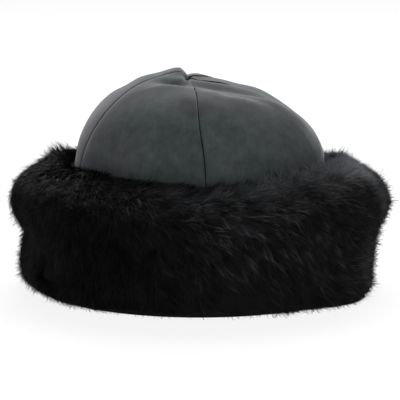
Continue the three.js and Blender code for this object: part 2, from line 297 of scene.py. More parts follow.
def seam_is_sunk(azimuth, way):
    return (between(azimuth, SUNK_SEAM["azimuth"]) & between(way, SUNK_SEAM["way"])).astype(float)


def laps(left, place, azimuth):
    """1 where a back gore laps over the seam at its start, fading to 0 away from the apex."""
    from_apex = np.hypot(place[..., 0] - APEX["x"], place[..., 1] - APEX["y"])
    inside = between(azimuth, LAP["azimuth"]) & left[0].startswith("gore_back")
    return inside * (1 - smooth(LAP["full"] * LAP["reach"], LAP["reach"], from_apex))


def seam_roll(azimuth, way, up, from_seam):
    """How deep the suede rolls in beside the seams."""
    roll = SEAM_DEPTH * smooth(0, PUFF_FROM, up - WALL_TOP) * np.exp(-((from_seam / SEAM_ROLL) ** 2))
    fading = smooth(*FADING_SEAM["way"], way) * between(azimuth % 360, FADING_SEAM["azimuth"])
    roll = roll * (1 - SUNK_SEAM["unrolled"] * seam_is_sunk(azimuth, way))
    return roll * (1 - FADING_SEAM["unrolled"] * fading)


def column_shares(width):
    """Where a gore's columns stand, as shares of its width: closer beside its seams."""
    edge = EDGE_COLUMNS[None, :] * np.minimum(1 / width, EDGE_SHARE / EDGE_COLUMNS[-1])
    even = np.linspace(0, 1, GORE_COLUMNS - 2 * len(EDGE_COLUMNS) + 2)[None, 1:-1]
    middle = edge[:, -1:] + (1 - 2 * edge[:, -1:]) * even
    return np.concatenate([edge, middle, 1 - edge[:, ::-1]], 1)


def gore_mesh(left, right):
    """One gore's outer and inner face as grids of points, their azimuths, and where its seam is sunk."""
    dome = WALL_SHARE + (GORE_TOP - WALL_SHARE) * np.linspace(0, 1, GORE_ROWS)
    way = np.concatenate([WALL_SHARE * WALL_ROWS, dome])[:, None]
    start, end = seam_azimuth(left, way), seam_azimuth(right, way)
    plan, up = dome_profile((start + end) / 2, way)
    radius = np.maximum(plan, APEX_TIP) * HALF_WIDTH
    share = column_shares(np.radians(end - start) * radius)
    half_gap = np.degrees(SEAM_HALF_GAP / radius)
    azimuth = start + half_gap + (end - start - 2 * half_gap) * share
    way = np.broadcast_to(way, azimuth.shape)
    sunk = seam_is_sunk(azimuth, way)
    from_start = np.radians(azimuth - start) * radius
    from_seam = np.radians(np.minimum(azimuth - start, end - azimuth)) * radius
    place, normal = crown_place(azimuth, way), crown_normal(azimuth, way)
    build = smooth(0, 2 * PUFF_FROM, up - WALL_TOP) * smooth(0, PUFF_PLAN, plan)
    puff = PUFF * build * np.maximum(np.sin(math.pi * share), SUNK_SEAM["puff"] * sunk) ** PUFF_ROUND
    lap = LAP["height"] * laps(left, place, azimuth) * np.exp(-((from_start / LAP["width"]) ** 2))
    relief = puff - seam_roll(azimuth, way, up, from_seam) + lap
    outer = place + normal * relief[..., None]
    inner = place + normal * (relief - SUEDE)[..., None]
    return outer, inner, azimuth, sunk > 0


def add_object(name, data):
    thing = bpy.data.objects.new(name, data)
    bpy.context.scene.collection.objects.link(thing)
    return thing


def add_mesh(name, points, faces):
    """A mesh object from points in millimetres and an array of triangles or quads."""
    mesh = bpy.data.meshes.new(name)
    size = faces.shape[1]
    mesh.vertices.add(len(points))
    mesh.vertices.foreach_set("co", (points * MM).astype(np.float32).ravel())
    mesh.loops.add(faces.size)
    mesh.loops.foreach_set("vertex_index", faces.astype(np.int32).ravel())
    mesh.polygons.add(len(faces))
    mesh.polygons.foreach_set("loop_start", np.arange(0, faces.size, size, dtype=np.int32))
    mesh.polygons.foreach_set("loop_total", np.full(len(faces), size, dtype=np.int32))
    mesh.polygons.foreach_set("use_smooth", np.ones(len(faces), bool))
    mesh.update()
    mesh.validate()
    return add_object(name, mesh)


def ring_grid(rows, columns, closed_rows):
    """Quads of a grid whose columns close, and whose rows may close too."""
    row = np.arange(rows if closed_rows else rows - 1)
    column = np.arange(columns)
    r, c = np.meshgrid(row, column, indexing="ij")
    r2, c2 = (r + 1) % rows, (c + 1) % columns
    quads = np.stack([r * columns + c, r * columns + c2, r2 * columns + c2, r2 * columns + c], -1)
    return quads.reshape(-1, 4)


# Painted light and shade on the suede, in soft patches: centre, reach sideways and up, how much paler.
PAINTED_LIGHT_PATCHES = {
    "gore_front_left": [
        ((-62, -37, 134), 20, 22, -0.3),
        ((-25, -42, 148), 28, 11, -0.14),
        ((-18, -17, 151), 8, 8, -0.1),
        ((-48, -50, 143), 16, 9, -0.12),
        ((-24, -86, 108), 32, 15, 0.12),
    ],
    "gore_front_right": [
        ((66, -32, 129), 18, 15, -0.26),
        ((26, -28, 148), 13, 10, -0.1),
        ((28, -82, 116), 34, 18, 0.16),
        ((60, -62, 118), 14, 12, -0.14),
    ],
}

# Painted shade and highlights along the folds and seams: the gore, or "" for all, reach, how much paler,
# and the points of the fold's line.
PAINTED_FOLD_LIGHT = [
    ("gore_front_left", 9, -0.52, [  # beside the left seam
        (-75, -44, 116), (-71, -44, 123), (-66, -42, 130), (-60, -40, 136.5), (-54, -39, 141.5),
        (-44, -35, 147.5),
    ]),
    ("gore_front_left", 10, -0.16, [(-50, -42, 144), (-36, -45, 148), (-21, -51, 147.5), (-9, -64, 143)]),
    ("gore_front_left", 5, -0.35, [(-28, -15, 150.5), (-20, -16, 150.3), (-13, -15, 150.5)]),
    ("gore_front_left", 4, 0.1, [(-27, -36, 151.7), (-15, -37, 151.3), (-5, -40, 149.7)]),  # the ridge
    ("gore_back_left", 5, 1.0, [(-28, 1, 156), (-20, 3, 157), (-13, 4, 156), (-10.5, 5, 154)]),  # the puff
    ("", 1.7, -0.65, [(-9, -7, 150.5), (-9.1, -15.5, 150.7)]),  # the pucker's front edge
    ("", 1.5, -0.7, [  # the lapped seam to the right
        (-5.8, -4, 151.7), (-0.5, -11.4, 151), (6.5, -15.1, 149.9), (14.5, -15.7, 148.5),
        (20.5, -12.8, 147), (24.8, -8.8, 144.8), (29.9, -6.4, 142.6), (40.6, -3.8, 140.5),
    ]),
    ("", 1.5, -0.7, [(-6.5, 1.5, 152.5), (-1.1, 2.9, 152.4), (4.1, 6.3, 151.1), (8.4, 11.7, 149.4)]),
    ("gore_back_right", 5, -0.35, [(-3, -5, 152), (4, -10, 152), (11, -9, 151.5), (19, -7, 149.5)]),
    ("", 8, -0.4, [(-8, -60, 144), (2, -63, 142.5), (2, -68, 140.3), (-2, -73, 137.5)]),
    ("", 9.5, -0.38, [  # under the ridge, to the right of the front seam
        (-9, -66, 142), (18, -68.6, 139), (32, -64.6, 138), (47, -61, 133.5), (61, -53.5, 128),
        (70, -46, 124),
    ]),
    ("gore_front_right", 8, -0.6, [  # the valley behind the ridge
        (-2, -23, 151), (11, -28, 148.7), (26, -29.5, 146.7), (40, -28.6, 143.5), (54, -40, 139),
    ]),
    ("gore_front_right", 3.5, 0.5, [  # the ridge
        (6, -45, 148.6), (11, -49.5, 147.4), (18, -51, 146.7), (26, -52.5, 145.4), (38, -52, 143),
    ]),
    ("gore_front_right", 1.2, -0.14, [(16, -68, 139.6), (14.7, -78.6, 132.7), (12, -88, 123)]),
]

# A painted sheen on the strip outside the crease down the right side: its first azimuth at a height,
# lean in degrees a millimetre, softness, where it fades further on, its lowest and highest part, and how
# much paler it is at its edge and further on.
PAINTED_SHEEN_STRIP = {"gore": "gore_front_right", "from": 331, "at": 116, "lean": -0.3, "edge": 1.3, "fade": (26, 40),
         "low": (86, 94), "high": (115, 131), "paler": (0.8, 1.2), "paler_over": 14}
LEAST_TONE = 0.1
# The paler the painted highlights, the warmer they are painted.
HIGHLIGHT_WARMTH = 0.12  # how much warmer the palest nap is


def line_distance(place, line):
    """How far the places lie from a line of straight pieces."""
    nearest = np.full(place.shape[:-1], 1e9)
    for start, end in zip(line[:-1], line[1:]):
        start, way = np.array(start, float), np.array(end, float) - start
        share = np.clip((place - start) @ way / (way @ way), 0, 1)
        nearest = np.minimum(nearest, np.linalg.norm(place - start - share[..., None] * way, axis=-1))
    return nearest


def painted_light_tone(gore, place, azimuth):
    """How much paler or darker the suede is painted for light and shade, 1 for its own colour."""
    total = np.ones(place.shape[:-1])
    for centre, wide, tall, paler in PAINTED_LIGHT_PATCHES.get(gore, []):
        away = (place - centre) / (wide, wide, tall)
        total += paler * np.exp(-(away**2).sum(-1))
    for name, reach, paler, line in PAINTED_FOLD_LIGHT:
        if name in ("", gore):
            total += paler * np.exp(-((line_distance(place, line) / reach) ** 2))
    if gore == PAINTED_SHEEN_STRIP["gore"]:
        up = place[..., 2]
        past = azimuth - PAINTED_SHEEN_STRIP["from"] - PAINTED_SHEEN_STRIP["lean"] * (up - PAINTED_SHEEN_STRIP["at"])
        at_edge, further = PAINTED_SHEEN_STRIP["paler"]
        paler = at_edge + (further - at_edge) * smooth(0, PAINTED_SHEEN_STRIP["paler_over"], past)
        across = smooth(0, PAINTED_SHEEN_STRIP["edge"], past) * (1 - smooth(*PAINTED_SHEEN_STRIP["fade"], past))
        total += paler * across * smooth(*PAINTED_SHEEN_STRIP["low"], up) * (1 - smooth(*PAINTED_SHEEN_STRIP["high"], up))
    return np.maximum(total, LEAST_TONE)


def paint(piece, red, green, blue):
    """Writes three numbers a point for the piece's material."""
    colour = piece.data.color_attributes.new("tone", "FLOAT_COLOR", "POINT")
    values = np.ones((len(piece.data.vertices), 4), np.float32)
    values[:, 0], values[:, 1], values[:, 2] = red, green, blue
    colour.data.foreach_set("color", values.ravel())


def place_in_frame(piece, node, slot, *materials):
    for material in materials:
        piece.data.materials.append(material)
    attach(piece, "root")
    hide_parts(node)


def add_gore(left, right, material, crease_shade_material):
    """One gore as a closed wall: its loops run across the outside and back across the inside."""
    outer, inner, azimuth, sunk = gore_mesh(left, right)
    rows, columns = outer.shape[:2]
    around = 2 * columns
    loops = np.concatenate([outer, inner[:, ::-1]], 1)
    faces = ring_grid(rows, around, False)
    outside = np.arange(columns - 1)
    inside = around - 1 - outside
    bottom = np.stack([outside, inside, inside - 1, outside + 1], -1)
    top = np.stack([outside + 1, inside - 1, inside, outside], -1) + (rows - 1) * around
    piece = add_mesh(left[0] + "_suede", loops.reshape(-1, 3), np.concatenate([faces, bottom, top]))
    loop_azimuth = np.concatenate([azimuth, azimuth[:, ::-1]], 1)
    # Painted light and shade on the suede, painted warmer where paler.
    tone = painted_light_tone(left[0], loops, loop_azimuth).reshape(-1)
    paint(piece, tone * np.maximum(tone, 1) ** HIGHLIGHT_WARMTH, tone, tone)
    # Faces in a seam's crease or under a lap take the crease material: painted shade.
    column = np.arange(around)
    from_edge = np.minimum(column, np.abs(columns - 2 - column))
    in_crease = (from_edge < DARK_COLUMNS) | (column >= columns - 1)
    in_crease = in_crease | ((laps(left, loops, loop_azimuth) > LAP["dark"]) & (column < LAP["columns"]))
    shown = np.concatenate([~sunk, ~sunk[:, ::-1]], 1)
    slots = np.zeros(len(piece.data.polygons), int)
    slots[: len(faces)] = (in_crease & shown)[: rows - 1].ravel()
    place_in_frame(piece, left[0], "suede", material, crease_shade_material)
    piece.data.polygons.foreach_set("material_index", slots)


# The fur cuff's surface


def cuff_controls(azimuth):
    """Control points of the section at azimuths: out from the crown's wall, and up."""
    shoulder, neck, skirt, crest, heel = (round_table(CUFF_SIDES, azimuth, k) for k in (1, 2, 3, 4, 5))
    same = np.ones_like(shoulder)
    points = [
        (GAP * same, INNER_TOP * same),
        (CREST_OUT * same, crest),
        (shoulder * CREST_EDGE[0], crest - CREST_EDGE[1]),
        (shoulder * SHOULDER_TOP[0], crest - SHOULDER_TOP[1]),
        (shoulder, SHOULDER_UP * same),
        (neck, NECK_UP * same),
        (skirt, SKIRT_UP * same),
        (skirt * heel, HEEL_UP * same),
        (SOLE_OUT * same, 0 * same),
    ]
    return np.stack([np.stack(point, -1) for point in points], 0)


TABLE_ROUND = 360
TABLE_ALONG = 160
CURVE_STEPS = 24  # between two control points


def blend(first, second, start, end, at):
    return ((end - at) * first + (at - start) * second) / (end - start)


def curve_between(p0, p1, p2, p3):
    """Points from p1 to before p2 on a smooth curve through four control points."""
    knots = [np.zeros((len(p0), 1))]
    for near, far in ((p0, p1), (p1, p2), (p2, p3)):
        step = np.maximum(np.linalg.norm(far - near, axis=-1, keepdims=True), SHORTEST) ** 0.5
        knots.append(knots[-1] + step)
    t0, t1, t2, t3 = knots
    points = []
    for share in np.linspace(0, 1, CURVE_STEPS, endpoint=False):
        t = t1 + (t2 - t1) * share
        a1, a2, a3 = blend(p0, p1, t0, t1, t), blend(p1, p2, t1, t2, t), blend(p2, p3, t2, t3, t)
        points.append(blend(blend(a1, a2, t0, t2, t), blend(a2, a3, t1, t3, t), t1, t2, t))
    return points


def section_table():
    """The hair tips' envelope at azimuths and even shares of the section: places and normals, out and up,
    and the sections' lengths."""
    controls = cuff_controls(np.arange(TABLE_ROUND) * 360 / TABLE_ROUND)
    before, after = 2 * controls[:1] - controls[1:2], 2 * controls[-1:] - controls[-2:-1]
    controls = np.concatenate([before, controls, after], 0)
    points = []
    for k in range(1, len(controls) - 2):
        points += curve_between(*controls[k - 1 : k + 3])
    points.append(controls[-2])
    line = np.stack(points, 1)
    steps = np.linalg.norm(np.diff(line, axis=1), axis=-1)
    length = np.concatenate([np.zeros((TABLE_ROUND, 1)), np.cumsum(steps, 1)], 1)
    even = np.linspace(0, 1, TABLE_ALONG)
    table = np.empty((TABLE_ROUND, TABLE_ALONG, 2))
    for i in range(TABLE_ROUND):
        for k in range(2):
            table[i, :, k] = np.interp(even * length[i, -1], length[i], line[i, :, k])
    along = unit(np.gradient(table, axis=1))
    normal = np.stack([-along[..., 1], along[..., 0]], -1)
    return table, normal, length[:, -1]


SECTION, SECTION_NORMAL, SECTION_LENGTH = section_table()
MEAN_LENGTH = float(SECTION_LENGTH.mean())
MEAN_OUT = 38  # about how far out from the crown the fur's face lies
MEAN_RADIUS = (HALF_WIDTH + HALF_DEPTH) / 2 + MEAN_OUT  # for distances round the cuff


def sample_table(table, azimuth, share):
    x = np.mod(azimuth, 360) / 360 * TABLE_ROUND
    y = np.clip(share, 0, 1) * (TABLE_ALONG - 1)
    x0, y0 = np.floor(x).astype(int), np.minimum(np.floor(y).astype(int), TABLE_ALONG - 2)
    fx, fy = (x - x0)[..., None], (y - y0)[..., None]
    x0 = x0 % TABLE_ROUND
    x1 = (x0 + 1) % TABLE_ROUND
    low, high = (mix(table[x0, row], table[x1, row], fx) for row in (y0, y0 + 1))
    return mix(low, high, fy)


def beside_crown(azimuth, out, up):
    """Points so far out from the crown's oval wall and so far up."""
    turn = np.radians(azimuth)
    nx, ny = np.cos(turn) / HALF_WIDTH, np.sin(turn) / HALF_DEPTH
    norm = np.hypot(nx, ny)
    x = HALF_WIDTH * np.cos(turn) + out * nx / norm
    y = HALF_DEPTH * np.sin(turn) + out * ny / norm
    return np.stack([x, y, up], -1)


LEAST_OUT = 0.5  # no hair comes nearer to the crown's wall
LEAST_UP = 0.4  # or to what the hat stands on


def on_cuff(azimuth, share, raised):
    """Points raised above the tips' envelope by so many millimetres."""
    place = sample_table(SECTION, azimuth, share)
    place = place + sample_table(SECTION_NORMAL, azimuth, share) * raised[..., None]
    return beside_crown(azimuth, np.maximum(place[..., 0], LEAST_OUT), np.maximum(place[..., 1], LEAST_UP))


UNDERFUR_ROUND = 240
UNDERFUR_ALONG = 72
UNDERFUR_SUNK = 5.5  # how far it lies below the tips
UNDERFUR_EDGES = (0.06, 0.04)  # where it comes up to them at its top and foot
UNDERFUR_TUFTS = {"round": 90, "along": 20, "height": 0.8, "edge": 0.1}


def add_underfur(material):
    """The underfur on its pelt: a closed ring below the tips, with a sole and an inner wall."""
    azimuth = np.repeat((np.arange(UNDERFUR_ROUND) * 360 / UNDERFUR_ROUND)[:, None], UNDERFUR_ALONG, 1)
    share = np.repeat(np.linspace(0, 1, UNDERFUR_ALONG)[None, :], UNDERFUR_ROUND, 0)
    sunk = UNDERFUR_SUNK * smooth(0, UNDERFUR_EDGES[0], share) * smooth(0, UNDERFUR_EDGES[1], 1 - share)
    tufts, edge = UNDERFUR_TUFTS, UNDERFUR_TUFTS["edge"]
    across, along = azimuth / 360 * tufts["round"], share * tufts["along"]
    noise = value_noise(across, along, SEED["underfur"], tufts["round"])
    raised = -sunk + tufts["height"] * noise * smooth(0, edge, share) * smooth(0, edge, 1 - share)
    hairy = on_cuff(azimuth, share, raised)

    def plain_ring(out, up):
        return beside_crown(azimuth[:, 0], np.full(UNDERFUR_ROUND, out), np.full(UNDERFUR_ROUND, up))

    hairy[:, 0] = plain_ring(GAP, INNER_TOP)
    sole = [(SOLE_OUT, 0), ((SOLE_OUT + SOLE_IN) / 2, 0), (SOLE_IN, 0)]
    wall = [(GAP, RIM), (GAP, (RIM + INNER_TOP) / 2)]
    loops = np.concatenate([hairy, np.stack([plain_ring(*at) for at in sole + wall], 1)], 1)
    faces = ring_grid(UNDERFUR_ROUND, loops.shape[1], True)
    piece = add_mesh("fur_underfur", loops.reshape(-1, 3), faces)
    pale = np.zeros(loops.shape[:2])
    # The fur's painted light and shade, on the underfur too.
    pale[:, :UNDERFUR_ALONG] = heights(FUR_PAINTED_LIGHT, azimuth, share)
    paint(piece, pale.reshape(-1), 0, 0)
    place_in_frame(piece, "fur_cuff", "fur", material)


# The hair's lie: azimuth, then how far it leans from straight down to the viewer's right, in degrees,
# at the crest, the shoulder, the belly and the skirt.
LIE = [
    (0, 68, 62, 66, 76),
    (45, 66, 50, 46, 52),
    (90, 64, 44, 36, 34),
    (135, 60, 34, 24, 20),
    (180, 44, 10, 2, 2),
    (215, 66, 16, 8, 6),
    (240, 86, 44, 26, 18),
    (270, 90, 64, 34, 28),
    (300, 84, 54, 30, 36),
    (330, 70, 42, 46, 64),
]
LIE_SHARES = (0.1, 0.34, 0.58, 0.86)  # where on the section those four lie

# Soft hollows and swellings in the fur: azimuth, share of the section, reach in degrees and in share,
# and height.
FUR_DENTS = [
    (213, 0.77, 5.5, 0.06, -6),  # hollow low on the left
    (206, 0.72, 5, 0.06, 2),  # the fold above it
    (226, 0.5, 12, 0.1, -1.5),  # left of the front
    (300, 0.5, 7, 0.06, -1.6),  # under the right crest
    (322, 0.44, 8, 0.07, 1.4),  # right shoulder
    (333, 0.3, 8, 0.08, 1.4),
    (160, 0.22, 18, 0.12, -1),  # left shoulder, and behind
    (125, 0.12, 14, 0.12, -2.5),
    (285, 0.96, 42, 0.07, -2.5),  # the sole's front edge
    (190, 0.648, 18, 0.036, -3),  # the neck's sharp fold on the left
    (187, 0.745, 16, 0.06, 1.5),  # and the roll under it
    (262, 0.06, 40, 0.06, 0.4),  # along the crown's front
    (24, 0.08, 14, 0.09, -1),  # behind the crown on the right
]

# Places where the tips stand up: azimuth, share of the section, reach in degrees and in share, height.
TUFTS = [
    (160, 0.19, 9, 0.07, 3.6),  # two behind the crown on the left
    (168, 0.2, 2.5, 0.05, 4),
    (17, 0.19, 3, 0.05, 4),  # behind the crown on the right
    (318, 0.06, 30, 0.07, 3.5),  # ruffled fur on top of the right front
    (262, 0.04, 40, 0.04, 1.2),  # wisps along the crown's front
    (336, 0.88, 5, 0.04, 1.6),  # a wisp at the lower right corner
]

# Where the fur is painted paler or darker for light and shade: azimuth, share, reaches, and tone.
FUR_PAINTED_LIGHT = [
    (3, 0.1, 14, 0.06, -0.25),  # on its top
    (4, 0.05, 7, 0.05, -0.7),
    (20, 0.12, 25, 0.12, 0.8),
    (158, 0.15, 20, 0.1, 0.14),
    (235, 0.16, 20, 0.08, 0.04),
    (300, 0.12, 26, 0.1, 0.44),
    (322, 0.19, 7, 0.05, -0.3),
    (342, 0.14, 24, 0.11, 1.05),
    (203, 0.45, 8, 0.14, 0.12),  # its upper lobe
    (205, 0.22, 34, 0.16, -0.14),
    (211, 0.45, 7, 0.08, 0.06),
    (212, 0.27, 8, 0.05, -0.12),
    (213, 0.3, 10, 0.06, -0.1),
    (216, 0.42, 5, 0.06, 0.12),
    (238, 0.3, 22, 0.1, 0.06),
    (243, 0.2, 12, 0.08, 0.08),
    (256, 0.32, 8, 0.05, 0.1),
    (262, 0.2, 32, 0.08, 0.17),
    (281, 0.42, 9, 0.07, 0.1),
    (286, 0.32, 24, 0.07, 0.12),
    (304, 0.21, 8, 0.05, 0.12),
    (308, 0.25, 6, 0.05, -0.14),
    (334, 0.36, 5, 0.06, -0.16),
    (335, 0.34, 22, 0.06, -0.1),
    (342, 0.42, 5, 0.12, 0.3),
    (345, 0.28, 8, 0.06, 0.35),
    (203, 0.74, 7, 0.14, 0.24),  # its neck and lower lobe
    (204, 0.64, 5, 0.1, 0.1),
    (210, 0.62, 6, 0.12, 0.08),
    (213, 0.76, 5, 0.06, -0.2),
    (214, 0.79, 6.5, 0.085, -0.32),
    (220, 0.69, 6, 0.05, 0.14),
    (240, 0.6, 24, 0.25, -0.06),
    (278, 0.7, 9, 0.08, 0.1),
    (294, 0.5, 36, 0.3, 0.08),
    (302, 0.56, 30, 0.3, 0.03),
    (322, 0.74, 7, 0.08, 0.14),
    (334, 0.77, 7, 0.1, 0.3),
    (336, 0.7, 10, 0.25, 0.08),
    (350, 0.6, 12, 0.3, 0.16),
]

# Where the hairs stand in disorder: azimuth, share, reaches, and degrees.
RUFFLED = [
    (326, 0.1, 34, 0.15, 50),
    (20, 0.12, 25, 0.12, 40),
    (158, 0.15, 20, 0.12, 36),
    (262, 0.04, 40, 0.08, 22),
]
MOST_RUFFLED = 50

# Where the hairs part into pointed locks: azimuth, share, reaches, and how far, from 0 to 1.
CLUMPED = [
    (295, 0.5, 36, 0.3, 0.75),
    (262, 0.26, 34, 0.1, 0.3),
    (340, 0.6, 20, 0.3, 0.4),
]
LEAST_CLUMPED = 0.12

# Kinds of hair: length and width, how deep the roots lie below the tips' surface, how high the tips end
# above it, joints along a hair, how far a lock's tips gather, the shares it grows between, degrees of
# disorder, and how much paler its locks and single hairs are painted where locks part, as painted glints.
HAIR_COLUMNS = "length width root tip joints tuck low high ruffle pale light".split()
HAIR_KINDS = {
    "nap": (8.8, 0.32, 6.5, -1.5, 2, 0.85, 0, 0.985, 0, 0, 0),
    "guard": (10.5, 0.22, 5.5, 0, 3, 0.85, 0, 0.96, 2, 0.5, 0),
    "wisp": (10, 0.16, 3, 0.9, 2, 0.3, 0, 0.985, 18, 0, 0),
    "whisker": (3.6, 0.3, 1.5, 2.2, 2, 0, 0.36, 0.97, 30, 0, 0),
    "stray": (10, 0.24, 1.5, 1.4, 2, 0, 0.2, 0.93, 8, 0, 0.5),
}
TAPER = np.array([0.85, 1, 0.8])  # a hair's width at its joints, before its pointed tip

NAP_PIECES = 4
HAIR_COUNTS = {"nap": (56000, 20000), "guard": (26000, 9000), "wisp": (8666, 3000), "whisker": (7500, 7500),
               "stray": (1100, 1100)}

BIG_LOCK = (8, 13)  # a lock's width and length
SMALL_LOCK = (2.6, 6)
LOCK_ROUND = 0.8  # how much lower a lock is at its sides
LOCK_LOOSE = 0.8  # how far a lock's centre strays in its cell
LOCK_ROWS = 1009  # more than there are, so that no two locks have the same number
FAR_AWAY = 1e9

# How much hairs vary, as the amount where no locks part and what fully parted locks add.
BIG_TURN = (8, 26)  # degrees between big locks
SMALL_TURN = (8, 34)  # degrees between small locks
LOCK_RISE = (0.8, 2)  # millimetres between the tips of small locks
GATHER = (0.15, 0.85)  # how much of the tuck is taken up
ROLL = (0.4, 0.4)  # how far hairs turn about their own length, in radians
HAIR_TONE = (0.1, 0.34)
LOCK_TONE = (0.04, 0.62)
# Painted glints: how much paler single stray hairs are painted.
PAINTED_GLINT = (0.3, 0.7)

# The rest of their variety.
LEAST_RUFFLE = 6  # degrees of disorder everywhere
PLUSH = 9  # and more where no locks part
LENGTH_VARIES, WIDTH_VARIES = 0.2, 0.3
TIP_VARIES = (0.2, 0.035)  # millimetres, and more for each degree of disorder
SHORTER = {"unrest": 0.35, "clumped": 0.25}
BIG_RELIEF = 1.2  # millimetres between big locks
RELIEF_FROM = 0.1  # the share over which it sets in beside the crown
STANDING = (0.3, 3.4)  # of a tuft's locks, at least and more by chance
GATHER_LATE = 1.2  # over 1, a lock's hairs meet near their tips
ROOT_BEND = 1.6  # over 1, hairs rise steeply and then lie over
HAIR_MIDDLE, LOCK_MIDDLE, BIG_TONE = 0.23, 0.1, 0.15
EVENER = 0.7  # how much more even the tones are in disorder
TONE_SPREAD = 0.55

# Waves over the fur: their length round the cuff and along its section, and height.
WAVES = {"flow": (30, 26, 12), "relief": (20, 17, 1.2), "lean": (9, 9, 8), "shade": (9, 9, 0.15)}

# Seeds of what looks like chance, one for each use.
SEED = {"flow": 3, "lean": 4, "underfur": 5, "relief": 6, "shade": 8, "big_locks": 11, "small_locks": 23,
        "big_turn": 31, "turn": 37, "length": 41, "rise": 43, "tone": 53, "big_tone": 59, "big_relief": 61,
        "standing": 71, "bright": 83}


def heights(rows, azimuth, share):
    """The sum of a table's soft spots at places on the section."""
    total = np.zeros_like(azimuth)
    for centre, at, wide, tall, height in rows:
        across = near_turn(azimuth - centre) / wide
        total += height * np.exp(-(across**2) - ((share - at) / tall) ** 2)
    return total


def lie_at(azimuth, share):
    """How far the hair leans, as in LIE."""
    columns = np.stack([round_table(LIE, azimuth, k) for k in (1, 2, 3, 4)], -1)
    at = np.interp(share, LIE_SHARES, np.arange(4.0))
    low = np.clip(np.floor(at).astype(int), 0, 2)
    rows = np.arange(len(columns))
    return mix(columns[rows, low], columns[rows, low + 1], smooth(0, 1, at - low))


def nearest_lock(u, v, flow, size, seed):
    """The lock that each root belongs to: the root's place in it along and across the hair's flow, the
    lock's centre, and a number of its own."""
    wide, long = size
    count = max(int(round(TAU * MEAN_RADIUS / math.sqrt(wide * long))), 3)
    cell = TAU * MEAN_RADIUS / count
    sine, cosine = np.sin(flow), np.cos(flow)
    column, row = np.floor(u / cell).astype(int), np.floor(v / cell).astype(int)
    best = np.full(u.shape, FAR_AWAY)
    along, across = np.zeros_like(u), np.zeros_like(v)
    own = np.zeros(u.shape, int)
    for di in range(-2, 3):
        for dj in range(-2, 3):
            i, j = column + di, row + dj
            wrapped = np.mod(i, count)
            du = u - (i + 0.5 + LOCK_LOOSE * (cell_random(wrapped, j, seed) - 0.5)) * cell
            dv = v - (j + 0.5 + LOCK_LOOSE * (cell_random(wrapped, j, seed + 1) - 0.5)) * cell
            here_along, here_across = du * sine + dv * cosine, du * cosine - dv * sine
            away = (here_across / wide) ** 2 + (here_along / long) ** 2
            closer = away < best
            best = np.where(closer, away, best)
            along, across = np.where(closer, here_along, along), np.where(closer, here_across, across)
            own = np.where(closer, wrapped * LOCK_ROWS + j, own)
    centre_u = u - along * sine - across * cosine
    centre_v = v - along * cosine + across * sine
    return along, across, centre_u, centre_v, own


def chance(lock, use):
    """A repeatable number from 0 to 1 for each lock and use."""
    return cell_random(lock, 0, SEED[use])


def wave(u, v, use):
    wide, long, height = WAVES[use]
    return height * value_noise(u / wide, v / long, SEED[use])


def parted(amounts, clumped):
    return amounts[0] + amounts[1] * clumped


def about_one(chances, by):
    """Numbers from 0 to 1 as factors from 1 - by to 1 + by."""
    return 1 - by + 2 * by * chances


def hair_roots(count, random, kind):
    """Where hairs grow, how the fur is there, and their locks, with one value a hair."""
    root = SimpleNamespace(count=count)
    root.u = random.random(count) * TAU * MEAN_RADIUS
    root.share = kind["low"] + (kind["high"] - kind["low"]) * random.random(count)
    root.v = root.share * MEAN_LENGTH
    root.azimuth = np.degrees(root.u / MEAN_RADIUS)
    root.disorder = heights(RUFFLED, root.azimuth, root.share)
    root.unrest = np.clip(root.disorder / MOST_RUFFLED, 0, 1)
    clumped = np.clip(LEAST_CLUMPED + heights(CLUMPED, root.azimuth, root.share), 0, 1)
    root.clumped = clumped * (1 - root.unrest)
    flow = lie_at(root.azimuth, root.share) + wave(root.u, root.v, "flow")
    big = nearest_lock(root.u, root.v, np.radians(flow), BIG_LOCK, SEED["big_locks"])
    root.big_u, root.big_v, root.big = big[2:]
    root.flow = flow + parted(BIG_TURN, root.clumped) * (chance(root.big, "big_turn") - 0.5)
    small = nearest_lock(root.u, root.v, np.radians(root.flow), SMALL_LOCK, SEED["small_locks"])
    root.along, root.across, root.lock_u, root.lock_v, root.lock = small
    return root


def hair_paths(root, random, kind):
    """The joints of each hair, from its root to its tip."""
    clumped, flow_turn = root.clumped, np.radians(root.flow)
    lean = root.flow + wave(root.lock_u, root.lock_v, "lean")
    lean = lean + parted(SMALL_TURN, clumped) * (chance(root.lock, "turn") - 0.5)
    ruffle = LEAST_RUFFLE + PLUSH * (1 - clumped) + kind["ruffle"] + root.disorder
    lean = np.radians(lean + ruffle * random.standard_normal(root.count))
    length = kind["length"] * about_one(random.random(root.count), LENGTH_VARIES)
    length = length * about_one(chance(root.lock, "length"), LENGTH_VARIES)
    length = np.maximum(length - 0.5 * clumped * root.along, 0.5 * length)
    length = length * (1 - SHORTER["unrest"] * root.unrest) * (1 - SHORTER["clumped"] * clumped)
    tip = kind["tip"] + parted(LOCK_RISE, clumped) * (chance(root.lock, "rise") - 0.5)
    tip = tip + parted(TIP_VARIES, ruffle) * random.standard_normal(root.count)
    relief = wave(root.big_u, root.big_v, "relief") + BIG_RELIEF * (chance(root.big, "big_relief") - 0.5)
    relief = relief - LOCK_ROUND * clumped * (root.across / SMALL_LOCK[0]) ** 2
    relief = relief * smooth(0, RELIEF_FROM, root.share)
    standing = parted(STANDING, chance(root.lock, "standing") ** 5)
    gather = kind["tuck"] * parted(GATHER, clumped)
    placed = []
    for t in np.linspace(0, 1, kind["joints"] + 1):
        sideways = root.across * gather * t**GATHER_LATE
        u = root.u + np.sin(lean) * length * t - sideways * np.cos(flow_turn)
        v = root.v + np.cos(lean) * length * t + sideways * np.sin(flow_turn)
        azimuth, share = np.degrees(u / MEAN_RADIUS), v / MEAN_LENGTH
        height = -kind["root"] * (1 - t) ** ROOT_BEND + tip * t
        height = height + relief + heights(FUR_DENTS, azimuth, share)
        height = height + heights(TUFTS, azimuth, share) * t * standing
        placed.append(on_cuff(azimuth, share, height))
    return np.stack(placed, 1)


